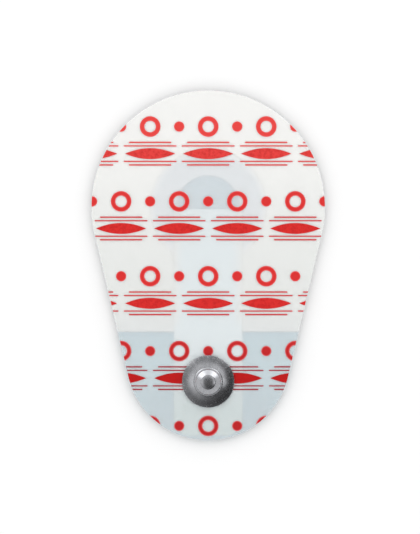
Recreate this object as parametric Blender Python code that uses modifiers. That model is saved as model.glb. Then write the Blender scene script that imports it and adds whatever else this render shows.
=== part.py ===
"""A pear-shaped disposable ECG electrode with an offset snap, lying on its release liner.

Metres, +Z up. The origin is on the liner's underside, below the middle of the gel. +Y points
to the broad end, and the snap stands at -Y, in the narrow end.
"""

from math import acos, asin, atan2, cos, degrees, hypot, pi, radians, sin, tan

import bmesh
import bpy

MM = 0.001

# The outline: two round ends and the straight sides that touch both
BROAD_RADIUS = 18.1 * MM
NARROW_RADIUS = 12.7 * MM
END_SPACING = 23.4 * MM
SIDE_LEAN = degrees(asin((BROAD_RADIUS - NARROW_RADIUS) / END_SPACING))

# Thicknesses of the layers, and the glue line that is left between two of them
LINER = 0.20 * MM
FOAM = 1.00 * MM
FILM = 0.12 * MM
COVER_STRIP = 0.10 * MM
CONDUCTOR = 0.08 * MM
GLUE = 0.04 * MM

# The gel and its well in the foam
GEL_RADIUS = 9.0 * MM
WELL_RADIUS = 9.2 * MM

# The foam is two die-cut pieces that meet on a straight line across the electrode
FOAM_SPLIT_Y = -19.3 * MM
FOAM_JOINT = 0.06 * MM

# The conductor strip, whose half-round upper end is the sensor over the gel
CONDUCTOR_HALF_WIDTH = 4.8 * MM
CONDUCTOR_TOP_Y = 4.9 * MM
CONDUCTOR_FOOT_Y = -32.2 * MM
CONDUCTOR_CORNER = 2.0 * MM

# The milky strip that covers the conductor from the sensor's middle to the narrow end
COVER_HALF_WIDTH = 5.3 * MM
COVER_TOP_Y = -0.3 * MM
COVER_FOOT_Y = -35.4 * MM
COVER_CORNER = 2.6 * MM

# Both strips are pressed into the foam and the gel, with this much room beside them
PRESSED_MARGIN = 0.12 * MM

# The stud of the snap, pressed from sheet: crown, undercut, neck, land, slope and curled rim
SNAP_Y = -27.0 * MM
STUD_HEIGHT = 3.70 * MM
STUD_SHEET = 0.25 * MM
HEAD_RADIUS = 1.95 * MM
CROWN_FLAT_RADIUS = 0.65 * MM
CROWN_HEIGHT = 0.90 * MM
HEAD_UNDERCUT = 0.80 * MM
NECK_RADIUS = 1.60 * MM
NECK_FILLET = 0.50 * MM
LAND_HEIGHT = 0.82 * MM
LAND_RADIUS = 2.85 * MM
LAND_BEND = 0.60 * MM
FLANGE_RADIUS = 4.05 * MM
RIM_CURL = 0.22 * MM
CURL_REACH = 0.50 * MM

# The eyelet that rivets the stud on: a base under the conductor and a tube that flares in the head
EYELET_RADIUS = 3.90 * MM
EYELET_SHEET = 0.25 * MM
TUBE_RADIUS = 1.20 * MM
TUBE_DRAW_BEND = 0.45 * MM
FLARE_RADIUS = 1.50 * MM
FLARE_HEIGHT = 0.42 * MM
FLARE_BELOW_CROWN = 0.85 * MM
TUBE_HOLE_RADIUS = 1.30 * MM
PATCH_RADIUS = 5.10 * MM
PATCH_WELL_RADIUS = 5.30 * MM

# Levels of the faces above the table
FOAM_BOTTOM = LINER + GLUE
FOAM_TOP = FOAM_BOTTOM + FOAM
FILM_BOTTOM = FOAM_TOP + GLUE
FILM_TOP = FILM_BOTTOM + FILM
COVER_BOTTOM = FOAM_TOP - COVER_STRIP
CONDUCTOR_TOP = COVER_BOTTOM - GLUE
CONDUCTOR_BOTTOM = CONDUCTOR_TOP - CONDUCTOR
EYELET_TOP = CONDUCTOR_BOTTOM - GLUE
EYELET_BOTTOM = EYELET_TOP - EYELET_SHEET
STUD_BOTTOM = FILM_TOP + GLUE
STUD_TOP = STUD_BOTTOM + STUD_HEIGHT

# Steps round a whole turn, and along one short bend
OUTLINE_STEPS = 96
WELL_STEPS = 64
HOLE_STEPS = 40
STUD_STEPS = 48
EYELET_STEPS = 36
CORNER_STEPS = 8
BEND_STEPS = 6
MERGE = 1e-6


def clear_scene():
    for old in list(bpy.data.objects):
        bpy.data.objects.remove(old)


def new_collection(name):
    made = bpy.data.collections.new(name)
    bpy.context.scene.collection.children.link(made)
    return made


def material(name, colour, roughness, metallic=0.0, alpha=1.0):
    made = bpy.data.materials.new(name)
    made.use_nodes = True
    shader = made.node_tree.nodes["Principled BSDF"]
    shader.inputs["Base Color"].default_value = (*colour, 1.0)
    shader.inputs["Roughness"].default_value = roughness
    shader.inputs["Metallic"].default_value = metallic
    shader.inputs["Alpha"].default_value = alpha
    return made


def arc(centre, radius, start, end, steps):
    """Points along an arc between two angles in degrees; two radii make it an ellipse's."""
    wide, high = radius if isinstance(radius, tuple) else (radius, radius)
    turns = [radians(start + (end - start) * i / steps) for i in range(steps + 1)]
    return [(centre[0] + wide * cos(t), centre[1] + high * sin(t)) for t in turns]


def circle(y, radius, steps):
    return arc((0, y), radius, 0, 360, steps)[:-1]


def side_x(y):
    """Half the electrode's width at a height on its straight sides."""
    lean = radians(SIDE_LEAN)
    return BROAD_RADIUS / cos(lean) + y * tan(lean)


def round_end(y, radius, start, end):
    return arc((0, y), radius, start, end, round(OUTLINE_STEPS * (end - start) / 360))


def broad_end():
    return round_end(0, BROAD_RADIUS, -SIDE_LEAN, 180 + SIDE_LEAN)


def narrow_end():
    return round_end(-END_SPACING, NARROW_RADIUS, 180 + SIDE_LEAN, 360 - SIDE_LEAN)


def pear():
    return broad_end() + narrow_end()


def foot_corners(half_width, foot_y, radius):
    """The two round lower corners of a strip along Y, from left to right."""
    inset, level = half_width - radius, foot_y + radius
    left = arc((-inset, level), radius, 180, 270, CORNER_STEPS)
    return left + arc((inset, level), radius, 270, 360, CORNER_STEPS)


def conductor_outline(margin=0.0):
    half_width = CONDUCTOR_HALF_WIDTH + margin
    centre_y = CONDUCTOR_TOP_Y - CONDUCTOR_HALF_WIDTH
    sensor = arc((0, centre_y), half_width, 0, 180, 4 * CORNER_STEPS)
    return sensor + foot_corners(half_width, CONDUCTOR_FOOT_Y - margin, CONDUCTOR_CORNER + margin)


def cover_outline(margin=0.0):
    half_width = COVER_HALF_WIDTH + margin
    top = [(half_width, COVER_TOP_Y + margin), (-half_width, COVER_TOP_Y + margin)]
    return top + foot_corners(half_width, COVER_FOOT_Y - margin, COVER_CORNER + margin)


def flat_piece(name, loops, bottom, top, surface, home):
    """An outline, with a hole for each loop after the first, extruded between two levels."""
    curve = bpy.data.curves.new(name, "CURVE")
    curve.dimensions = "2D"
    curve.fill_mode = "BOTH"
    curve.extrude = (top - bottom) / 2
    for loop in loops:
        spline = curve.splines.new("POLY")
        spline.points.add(len(loop) - 1)
        for point, (x, y) in zip(spline.points, loop):
            point.co = (x, y, 0, 1)
        spline.use_cyclic_u = True
    if surface:
        curve.materials.append(surface)
    made = bpy.data.objects.new(name, curve)
    made.location.z = (top + bottom) / 2
    home.objects.link(made)
    return made


def flat_mesh(name, loops, bottom, top, surface, home):
    """The same piece as a closed mesh, which can be cut and can cut."""
    curve = flat_piece(name, loops, bottom, top, surface, home)
    bpy.context.view_layer.update()
    graph = bpy.context.evaluated_depsgraph_get()
    mesh = bpy.data.meshes.new_from_object(curve.evaluated_get(graph))
    welded = bmesh.new()
    welded.from_mesh(mesh)
    bmesh.ops.remove_doubles(welded, verts=welded.verts, dist=MERGE)
    welded.to_mesh(mesh)
    welded.free()
    place = curve.matrix_world.copy()
    bpy.data.objects.remove(curve)
    made = bpy.data.objects.new(name, mesh)
    made.matrix_world = place
    home.objects.link(made)
    return made


def cutter(name, outline, bottom, home):
    """A body that clears all above one level for a strip to be pressed in."""
    made = flat_mesh(name, [outline], bottom, FILM_TOP, None, home)
    made.hide_render = True
    made.display_type = "WIRE"
    return made


def press_in(piece, cutters):
    for tool in cutters:
        boolean = piece.modifiers.new(tool.name, "BOOLEAN")
        boolean.operation = "DIFFERENCE"
        boolean.solver = "EXACT"
        boolean.object = tool


def turned(name, profile, steps, surface, home, closed=False):
    """A profile of (radius, height) points turned about the snap's axis."""
    mesh = bpy.data.meshes.new(name)
    last = len(profile) - 1
    edges = [(i, i + 1) for i in range(last)]
    if closed:
        edges.append((last, 0))
    mesh.from_pydata([(radius, 0, height) for radius, height in profile], edges, [])
    mesh.materials.append(surface)
    made = bpy.data.objects.new(name, mesh)
    made.location = (0, SNAP_Y, 0)
    home.objects.link(made)
    screw = made.modifiers.new("turn", "SCREW")
    screw.axis = "Z"
    screw.angle = 2 * pi
    screw.steps = steps
    screw.render_steps = steps
    screw.use_smooth_shade = True
    screw.use_merge_vertices = True
    screw.merge_threshold = MERGE


def common_tangent(first, first_radius, second, second_radius):
    """The angle in degrees at which one straight line touches two circles from above."""
    run, rise = second[0] - first[0], second[1] - first[1]
    return degrees(atan2(rise, run) + acos((first_radius - second_radius) / hypot(run, rise)))


def undercut(inset):
    """The head's lower side, from its widest ring down to the neck."""
    points = []
    for i in range(1, BEND_STEPS + 1):
        share = i / BEND_STEPS
        swell = (HEAD_RADIUS - NECK_RADIUS) * (1 + cos(pi * share)) / 2
        level = STUD_TOP - CROWN_HEIGHT - HEAD_UNDERCUT * share
        points.append((NECK_RADIUS + swell - inset, level))
    return points


def stud_profile():
    """The sheet's outside from the crown down to the curled rim, and its inside back up."""
    land = STUD_BOTTOM + LAND_HEIGHT
    crown = (CROWN_FLAT_RADIUS, STUD_TOP - CROWN_HEIGHT)
    crown_radii = (HEAD_RADIUS - CROWN_FLAT_RADIUS, CROWN_HEIGHT)
    fillet = (NECK_RADIUS + NECK_FILLET, land + NECK_FILLET)
    bend = (LAND_RADIUS, land - LAND_BEND)
    curl = (FLANGE_RADIUS - RIM_CURL, STUD_BOTTOM + RIM_CURL)
    slope = common_tangent(bend, LAND_BEND, curl, RIM_CURL)

    outside = [(0, STUD_TOP)]
    outside += arc(crown, crown_radii, 90, 0, BEND_STEPS + 3)
    outside += undercut(0)
    outside += arc(fillet, NECK_FILLET, 180, 270, BEND_STEPS)
    outside += arc(bend, LAND_BEND, 90, slope, 2)
    outside += arc(curl, RIM_CURL, slope, -90, BEND_STEPS)

    curl_end = curl[0] - CURL_REACH
    inner_bend = arc(bend, LAND_BEND - STUD_SHEET, slope, 90, 2)
    drop = (curl_end - inner_bend[0][0]) / tan(radians(slope))
    inside = [(curl_end, STUD_BOTTOM), (curl_end, inner_bend[0][1] - drop)]
    inside += inner_bend
    inside += arc(fillet, NECK_FILLET + STUD_SHEET, 270, 180, BEND_STEPS)
    inside += undercut(STUD_SHEET)[::-1]
    inner_radii = (crown_radii[0] - STUD_SHEET, crown_radii[1] - STUD_SHEET)
    inside += arc(crown, inner_radii, 0, 90, BEND_STEPS)
    inside += [(0, STUD_TOP - STUD_SHEET)]
    return outside + inside


def eyelet_profile():
    """The tube's outside from its lip down to the base's rim, and its bore back up."""
    bore = TUBE_RADIUS - EYELET_SHEET
    flare = (FLARE_RADIUS, STUD_TOP - FLARE_BELOW_CROWN - FLARE_HEIGHT)
    outer_flare = (FLARE_RADIUS - TUBE_RADIUS, FLARE_HEIGHT - EYELET_SHEET)
    inner_flare = (FLARE_RADIUS - bore, FLARE_HEIGHT)
    rim = EYELET_SHEET / 2
    draw = (bore + TUBE_DRAW_BEND, EYELET_BOTTOM + TUBE_DRAW_BEND)

    outside = arc(flare, outer_flare, 90, 180, BEND_STEPS)
    outside += [(TUBE_RADIUS, EYELET_TOP)]
    outside += arc((EYELET_RADIUS - rim, EYELET_BOTTOM + rim), rim, 90, -90, BEND_STEPS)
    inside = arc(draw, TUBE_DRAW_BEND, 270, 180, BEND_STEPS)
    inside += arc(flare, inner_flare, 180, 90, BEND_STEPS)
    return outside + inside


def build():
    clear_scene()
    electrode = new_collection("ecg_electrode")
    tools = new_collection("cutters")

    clear_blue = material("clear_blue_sheet", (0.62, 0.72, 0.80), 0.12, alpha=0.35)
    white_foam = material("white_foam", (0.93, 0.93, 0.91), 0.75)
    blue_foam = material("grey_blue_foam", (0.56, 0.66, 0.73), 0.75)
    wet_gel = material("gel", (0.72, 0.80, 0.85), 0.08, alpha=0.6)
    coated_silver = material("silver_chloride", (0.50, 0.54, 0.57), 0.45, metallic=0.4)
    milky_film = material("milky_film", (0.86, 0.90, 0.91), 0.35, alpha=0.8)
    printed_film = material("printed_film", (0.93, 0.94, 0.94), 0.30, alpha=0.6)
    bright_steel = material("pressed_steel", (0.60, 0.60, 0.61), 0.25, metallic=1.0)
    dull_steel = material("tinned_steel", (0.55, 0.55, 0.56), 0.40, metallic=1.0)
    white_patch = material("white_patch", (0.88, 0.89, 0.89), 0.60)

    flat_piece("release_liner", [pear()], 0, LINER, clear_blue, electrode)

    presses = [
        cutter("cover_press", cover_outline(PRESSED_MARGIN), COVER_BOTTOM - GLUE, tools),
        cutter("conductor_press", conductor_outline(PRESSED_MARGIN), EYELET_TOP, tools),
    ]
    foam = (FOAM_BOTTOM, FOAM_TOP)
    split = FOAM_SPLIT_Y
    skirt_edge = [(-side_x(split), split), (side_x(split), split)]
    skirt_loops = [broad_end() + skirt_edge, circle(0, WELL_RADIUS, WELL_STEPS)]
    press_in(flat_mesh("skirt_foam", skirt_loops, *foam, white_foam, electrode), presses)

    split = FOAM_SPLIT_Y - FOAM_JOINT
    tab_edge = [(side_x(split), split), (-side_x(split), split)]
    tab_loops = [narrow_end() + tab_edge, circle(SNAP_Y, PATCH_WELL_RADIUS, HOLE_STEPS)]
    press_in(flat_mesh("tab_foam", tab_loops, *foam, blue_foam, electrode), presses)

    gel_loops = [circle(0, GEL_RADIUS, WELL_STEPS)]
    press_in(flat_mesh("gel_disc", gel_loops, *foam, wet_gel, electrode), presses)

    hole = circle(SNAP_Y, TUBE_HOLE_RADIUS, HOLE_STEPS)
    conductor = (CONDUCTOR_BOTTOM, CONDUCTOR_TOP)
    flat_piece("conductor_strip", [conductor_outline(), hole], *conductor, coated_silver, electrode)
    flat_piece("cover_strip", [cover_outline(), hole], COVER_BOTTOM, FOAM_TOP, milky_film, electrode)
    flat_piece("carrier_film", [pear(), hole], FILM_BOTTOM, FILM_TOP, printed_film, electrode)

    turned("snap_stud", stud_profile(), STUD_STEPS, bright_steel, electrode)
    turned("eyelet", eyelet_profile(), EYELET_STEPS, dull_steel, electrode, closed=True)
    patch = [circle(SNAP_Y, PATCH_RADIUS, HOLE_STEPS)]
    flat_piece("eyelet_patch", patch, FOAM_BOTTOM, EYELET_BOTTOM - GLUE, white_patch, electrode)


build()
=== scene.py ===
# %% [markdown]
# # A snap electrode for ECG leads
#
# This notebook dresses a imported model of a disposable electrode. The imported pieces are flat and
# exact. Here each of them is modelled again in fine mesh, as the maker would die-cut, press and
# rivet it, and gets a finish of its own. Lengths are in metres, +Y points to the broad end, and
# the snap stands in the narrow end.

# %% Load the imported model
from math import acos, atan2, cos, degrees, exp, hypot, pi, radians, sin, sqrt, tan

import bmesh
import bpy
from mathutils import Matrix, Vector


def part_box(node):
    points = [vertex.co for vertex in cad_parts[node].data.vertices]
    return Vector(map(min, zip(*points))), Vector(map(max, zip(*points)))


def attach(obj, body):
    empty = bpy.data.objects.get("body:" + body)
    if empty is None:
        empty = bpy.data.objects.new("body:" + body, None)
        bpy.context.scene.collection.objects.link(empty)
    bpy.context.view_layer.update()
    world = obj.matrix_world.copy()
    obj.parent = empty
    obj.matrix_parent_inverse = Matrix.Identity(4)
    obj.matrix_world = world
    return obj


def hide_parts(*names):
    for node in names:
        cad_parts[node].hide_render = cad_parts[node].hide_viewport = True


MM = 0.001
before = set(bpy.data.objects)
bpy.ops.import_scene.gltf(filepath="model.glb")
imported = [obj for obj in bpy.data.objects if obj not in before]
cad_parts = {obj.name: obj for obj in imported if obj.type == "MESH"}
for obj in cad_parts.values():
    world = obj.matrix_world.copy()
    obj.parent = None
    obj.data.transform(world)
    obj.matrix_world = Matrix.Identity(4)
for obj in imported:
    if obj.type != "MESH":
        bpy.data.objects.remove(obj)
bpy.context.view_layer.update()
print("packed pieces:", ", ".join(sorted(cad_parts)))

# %% [markdown]
# ## Where the layers lie
#
# An electrode is a stack of thin sheets: liner, foam and gel, conductor, cover strip and film.
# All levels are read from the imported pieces, so each new sheet lies where the old one did.

# %% Read the layers' levels
def levels(node):
    """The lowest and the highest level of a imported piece."""
    low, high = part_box(node)
    return low[2], high[2]


LINER_LOW, LINER_HIGH = levels("release_liner")
FOAM_LOW, FOAM_HIGH = levels("skirt_foam")
FILM_LOW, FILM_HIGH = levels("carrier_film")
STRIP_LOW, STRIP_HIGH = levels("cover_strip")
SILVER_LOW, SILVER_HIGH = levels("conductor_strip")
PATCH_LOW, PATCH_HIGH = levels("eyelet_patch")
STUD_LOW, STUD_HIGH = levels("snap_stud")
EYELET_LOW = levels("eyelet")[0]
for name in ("release_liner", "skirt_foam", "cover_strip", "carrier_film", "snap_stud"):
    print(name, [round(level / MM, 2) for level in levels(name)], "mm above the table")

# %% Read the main sizes seen from above
BROAD_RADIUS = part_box("carrier_film")[1][1]
NARROW_RADIUS = 12.7 * MM
END_SPACING = -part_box("carrier_film")[0][1] - NARROW_RADIUS
SNAP_Y = (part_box("snap_stud")[0][1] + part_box("snap_stud")[1][1]) / 2
FLANGE_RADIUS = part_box("snap_stud")[1][0]
GEL_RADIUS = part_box("gel_disc")[1][0]
PATCH_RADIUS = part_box("eyelet_patch")[1][0]
SPLIT_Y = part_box("skirt_foam")[0][1]
TAIL_TOP_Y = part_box("tab_foam")[1][1]
STRIP_HALF, STRIP_TOP_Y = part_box("cover_strip")[1][:2]
STRIP_FOOT_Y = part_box("cover_strip")[0][1]
SILVER_HALF, SILVER_TOP_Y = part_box("conductor_strip")[1][:2]
SILVER_FOOT_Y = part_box("conductor_strip")[0][1]
print("outline", round(2 * BROAD_RADIUS / MM, 1), "mm wide, snap at y", round(SNAP_Y / MM, 1), "mm")

# %% [markdown]
# ## The camera
#
# The electrode is seen straight from above, with the broad end up. A long lens keeps the stud
# from leaning outward in the picture. The snap's known size makes a pixel 0.155 mm.

# %% Place the camera
PIXEL = 0.155 * MM
PICTURE_HIGH = 534 * PIXEL
AIM_X, AIM_Y = 0.28 * MM, -9.27 * MM
SENSOR, LENS = 36.0, 200.0
CLIP_NEAR, CLIP_FAR = 0.01, 10

bpy.ops.object.select_all(action="DESELECT")
camera_height = FILM_HIGH + PICTURE_HIGH * LENS / SENSOR
bpy.ops.object.camera_add(location=(AIM_X, AIM_Y, camera_height), rotation=(0, 0, 0))
camera = bpy.context.object
camera.name = "camera"
camera.data.sensor_width, camera.data.lens = SENSOR, LENS
camera.data.clip_start, camera.data.clip_end = CLIP_NEAR, CLIP_FAR
bpy.context.scene.camera = camera
bpy.context.scene.view_settings.view_transform = "Standard"
print("camera", round(camera_height / MM), "mm above the table")

# %% [markdown]
# ## Working by hand in code
#
# Operators act on what is selected, so each piece starts with nothing selected. Faces and edges
# are picked by a test of their place or direction, as one would click on them.

# %% Helpers for picking and editing
TINY = 1e-6


def start():
    if bpy.context.mode != "OBJECT":
        bpy.ops.object.mode_set(mode="OBJECT")
    bpy.ops.object.select_all(action="DESELECT")


def activate(piece):
    start()
    piece.select_set(True)
    bpy.context.view_layer.objects.active = piece


def edit(piece, kind="FACE"):
    activate(piece)
    bpy.ops.object.mode_set(mode="EDIT")
    bpy.ops.mesh.select_mode(type=kind)


def pick_all():
    bpy.ops.mesh.select_all(action="SELECT")


def pick(piece, test, kind="faces"):
    """Select only the faces, edges or vertices that pass a test."""
    shape = bmesh.from_edit_mesh(piece.data)
    for group in (shape.verts, shape.edges, shape.faces):
        for element in group:
            element.select = False
    for element in [element for element in getattr(shape, kind) if test(element)]:
        element.select_set(True)
    bmesh.update_edit_mesh(piece.data)


def is_level(edge):
    return abs(edge.verts[0].co.z - edge.verts[1].co.z) < TINY


def is_disc(face, direction):
    """A round face that looks straight up, for 1, or down, for -1."""
    return face.normal.z * direction > 0.99 and len(face.verts) > 8


print("places are compared to", TINY, "m")

# %% Helpers for cutting and completing
def settle(piece):
    """Bring a piece's place into its mesh, so that its object sits at the origin."""
    activate(piece)
    bpy.ops.object.transform_apply(location=True, rotation=True, scale=True)
    return piece


def apply_modifier(piece, kind, **settings):
    activate(piece)
    modifier = piece.modifiers.new(kind.lower(), kind)
    for key, value in settings.items():
        setattr(modifier, key, value)
    bpy.ops.object.modifier_apply(modifier=modifier.name)


def die_cut(piece, die, keep="INTERSECT"):
    """Cut a piece with a die, which is thrown away afterwards."""
    apply_modifier(piece, "BOOLEAN", operation=keep, solver="EXACT", object=die)
    bpy.data.objects.remove(die)


def complete(piece, name, angle=35):
    """Name a piece, smooth its faces up to an angle in degrees and tell its size."""
    settle(piece)
    piece.name = piece.data.name = name
    bpy.ops.object.shade_smooth_by_angle(angle=radians(angle))
    size = [round(length / MM, 2) for length in piece.dimensions]
    print(name, size, "mm,", len(piece.data.polygons), "faces")
    return piece


print("helpers ready")

# %% [markdown]
# ## The pear outline
#
# The outline is what a string makes when it is pulled round a large and a small disc. Two
# cylinders and a convex hull give just that, with exact tangents and nothing to work out.

# %% A pear-shaped block
OUTLINE_VERTICES = 180
DIE_OVERRUN = 1 * MM
FLAT_ANGLE = radians(0.5)


def disc(radius, y, low, high, vertices):
    start()
    bpy.ops.mesh.primitive_cylinder_add(
        vertices=vertices, radius=radius, depth=high - low, location=(0, y, (high + low) / 2)
    )
    return settle(bpy.context.object)


def hull_of(first, second):
    """One convex block around two pieces, with flat faces where they are flat."""
    activate(first)
    second.select_set(True)
    bpy.ops.object.join()
    edit(first)
    pick_all()
    bpy.ops.mesh.convex_hull()
    pick_all()
    bpy.ops.mesh.dissolve_limited(angle_limit=FLAT_ANGLE)
    pick_all()
    bpy.ops.mesh.normals_make_consistent(inside=False)
    start()
    return first


def pear_block(low, high):
    broad = disc(BROAD_RADIUS, 0, low, high, OUTLINE_VERTICES)
    narrow = disc(NARROW_RADIUS, -END_SPACING, low, high, OUTLINE_VERTICES)
    return hull_of(broad, narrow)


print("the hull of the two discs makes the die, the foam and the liner")

# %% How far a point lies inside the outline
def inside_edge(x, y):
    """The distance in from the outline, which is negative outside it."""
    lean = (BROAD_RADIUS - NARROW_RADIUS) / END_SPACING
    upright = sqrt(1 - lean * lean)
    across, down = abs(x), -y
    along = down * upright - across * lean
    if along < 0:
        return BROAD_RADIUS - hypot(across, down)
    if along > upright * END_SPACING:
        return NARROW_RADIUS - hypot(across, down - END_SPACING)
    return BROAD_RADIUS - across * upright - down * lean


print("gel's middle is", round(inside_edge(0, 0) / MM, 1), "mm from the edge")

# %% [markdown]
# ## How the film lies
#
# A film of a tenth of a millimetre shows everything under it: it steps up over the strip,
# swells over the gel, dips at the rim of the well, puckers round the snap and turns down where
# the die cut it. One function gives that lift at any point, for every sheet that follows it.

# %% Wrinkles in the film
CREASE_END, CREASE_BOW = 0.2, 0.35 * MM
CREASE_RISEN, CREASE_FALLING = 0.4, 0.6
# start, end, width and height of each, in millimetres
CREASES = [
    ((8.3, 9.4), (10.4, 3.2), 0.45, 0.030),
    ((11.7, -0.2), (13.1, -1.9), 0.35, 0.032),
    ((14.9, -0.6), (16.3, -2.4), 0.35, 0.028),
    ((-13.6, 5.9), (-11.9, 1.2), 0.50, 0.022),
    ((-10.6, -12.4), (-9.3, -17.0), 0.45, 0.020),
    ((9.4, -10.2), (10.1, -15.2), 0.50, 0.020),
    ((-4.0, 14.6), (2.6, 15.5), 0.50, 0.018),
]


def ramp(low, high, value):
    share = min(1, max(0, (value - low) / (high - low)))
    return share * share * (3 - 2 * share)


def crease_lift(x, y):
    """Small standing wrinkles: a rounded ridge along a line that fades at both ends."""
    lift = 0
    for (ax, ay), (bx, by), width, height in CREASES:
        run, rise = (bx - ax) * MM, (by - ay) * MM
        length = hypot(run, rise)
        dx, dy = x - ax * MM, y - ay * MM
        along = (dx * run + dy * rise) / (length * length)
        if -CREASE_END < along < 1 + CREASE_END:
            across = (dx * rise - dy * run) / length - CREASE_BOW * sin(pi * along)
            fade = ramp(-CREASE_END, CREASE_RISEN, along)
            fade *= ramp(1 + CREASE_END, CREASE_FALLING, along)
            lift += height * MM * fade * exp(-((across / (width * MM)) ** 2))
    return lift


print(len(CREASES), "wrinkles")

# %% Lift of the upper sheets
STRIP_STEP, SPAN_OUT, SPAN_IN = 0.030 * MM, 0.5 * MM, 0.1 * MM
FOOT_OUT, FOOT_IN = 0.4 * MM, 0.3 * MM
GEL_SWELL, SWELL_FROM, SWELL_FULL = 0.045 * MM, 1.05, 0.55
RIM_DIP, DIP_WIDE = 0.012 * MM, 0.05
PUCKER, PUCKER_FROM, PUCKER_REACH = 0.022 * MM, 0.5 * MM, 1.3 * MM
FOLDS, FOLDS_UNEVEN, FOLDS_MEAN = 9, 1.3, 0.4
CLAMPED, FREE = -0.3 * MM, 1.2 * MM
EDGE_TURN, EDGE_WIDE = 0.050 * MM, 0.7 * MM
WAVE, WAVE_ACROSS, WAVE_ALONG, WAVE_SLANT = 0.012 * MM, 2.7 * MM, 3.9 * MM, 2.1 * MM
WAVE_SHIFT, SLANT_SHARE = 1.1, 0.6
DEEPEST = -0.03 * MM


def lift_at(x, y):
    over_strip = ramp(STRIP_HALF + SPAN_OUT, STRIP_HALF - SPAN_IN, abs(x))
    over_strip *= ramp(STRIP_TOP_Y + SPAN_OUT, STRIP_TOP_Y - SPAN_IN, y)
    over_strip *= ramp(STRIP_FOOT_Y - FOOT_OUT, STRIP_FOOT_Y + FOOT_IN, y)
    from_gel = hypot(x, y) / GEL_RADIUS
    swell = ramp(SWELL_FROM, SWELL_FULL, from_gel)
    dip = exp(-(((from_gel - 1.0) / DIP_WIDE) ** 2))
    from_snap = hypot(x, y - SNAP_Y) - FLANGE_RADIUS
    turn = atan2(y - SNAP_Y, x)
    folds = cos(FOLDS * turn + FOLDS_UNEVEN * sin(2 * turn))
    pucker = exp(-max(0, from_snap) / PUCKER_REACH) * (FOLDS_MEAN + (1 - FOLDS_MEAN) * folds)
    waves = sin(x / WAVE_ACROSS + WAVE_SHIFT) * sin(y / WAVE_ALONG)
    waves += SLANT_SHARE * sin((x + y) / WAVE_SLANT)
    lift = STRIP_STEP * over_strip + GEL_SWELL * swell - RIM_DIP * dip + WAVE * waves
    lift += crease_lift(x, y) + PUCKER * pucker * ramp(0, PUCKER_FROM, from_snap)
    lift *= ramp(CLAMPED, FREE, from_snap)
    edge = ramp(0, EDGE_WIDE, inside_edge(x, y))
    return max(DEEPEST, lift) * edge - EDGE_TURN * (1 - edge)


print("lift over the gel", round(lift_at(0, 6 * MM) / MM, 3), "mm, at the edge",
      round(lift_at(0, BROAD_RADIUS) / MM, 3), "mm")

# %% [markdown]
# ## The printed film
#
# The maker prints a wide web of film and punches the electrode out of it. The same is done
# here: a fine grid gets the film's thickness, a pear-shaped die cuts it, a punch makes the hole
# for the rivet, and then each point is lifted as the film lies.

# %% Cut the film and lay it down
FILM_CELL = 0.34 * MM
WEB_MARGIN = 1 * MM
RIVET_HOLE, HOLE_SIDES = 1.3 * MM, 64


def web(low, high, half, near, far, cell):
    """A flat sheet of small square cells, with a margin all round."""
    start()
    wide, long = 2 * (half + WEB_MARGIN), far - near + 2 * WEB_MARGIN
    bpy.ops.mesh.primitive_grid_add(
        x_subdivisions=round(wide / cell), y_subdivisions=round(long / cell), size=1
    )
    sheet = bpy.context.object
    sheet.scale = (wide, long, 1)
    sheet.location = (0, (near + far) / 2, (low + high) / 2)
    settle(sheet)
    apply_modifier(sheet, "SOLIDIFY", thickness=high - low, offset=0)
    return sheet


def punch(piece, radius, y, low, high, vertices):
    die_cut(piece, disc(radius, y, low - DIE_OVERRUN, high + DIE_OVERRUN, vertices), "DIFFERENCE")


def cut_sheet(name, low, high, half, near, far, cell, die):
    """Cut a web with a die, punch the rivet's hole, and lay the sheet on what is below it."""
    sheet = web(low, high, half, near, far, cell)
    die_cut(sheet, die(low - DIE_OVERRUN, high + DIE_OVERRUN))
    punch(sheet, RIVET_HOLE, SNAP_Y, low, high, HOLE_SIDES)
    for vertex in sheet.data.vertices:
        vertex.co.z += lift_at(vertex.co.x, vertex.co.y)
    return complete(sheet, name)


printed_film = cut_sheet("printed_film", FILM_LOW, FILM_HIGH, BROAD_RADIUS,
                         -END_SPACING - NARROW_RADIUS, BROAD_RADIUS, FILM_CELL, pear_block)

# %% [markdown]
# ## The milky strip
#
# A strip of milky film covers the conductor. Its foot has round corners, made by bevelling two
# upright edges of the die, and it follows the same lift as the film above it.

# %% Cut the strip
STRIP_CORNER, CORNER_STEPS = 2.6 * MM, 16


def strip_die(half, foot, top, corner, low, high):
    """A long block with its two lower upright edges rounded."""
    start()
    bpy.ops.mesh.primitive_cube_add(size=1)
    die = bpy.context.object
    die.scale = (2 * half, top - foot, high - low)
    die.location = (0, (top + foot) / 2, (low + high) / 2)
    settle(die)
    edit(die, "EDGE")
    pick(die, lambda e: e.verts[0].co.y < foot + TINY and e.verts[1].co.y < foot + TINY
         and not is_level(e), "edges")
    bpy.ops.mesh.bevel(offset=corner, segments=CORNER_STEPS)
    start()
    return die


def cover_die(low, high, spread=0.0):
    """The cover strip's outline as a block, grown all round by a spread."""
    return strip_die(STRIP_HALF + spread, STRIP_FOOT_Y - spread, STRIP_TOP_Y + spread,
                     STRIP_CORNER + spread, low, high)


milky_strip = cut_sheet("milky_strip", STRIP_LOW, STRIP_HIGH, STRIP_HALF,
                        STRIP_FOOT_Y, STRIP_TOP_Y, FILM_CELL, cover_die)

# %% [markdown]
# ## The silver strip
#
# The conductor is a coated strip whose half-round end lies over the gel. A block with round foot
# corners and a disc make its die, again by a hull, and the strip is laid like the films.

# %% Cut the conductor
SILVER_CORNER, SILVER_CELL, SILVER_SIDES = 2.0 * MM, 0.4 * MM, 96


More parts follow.
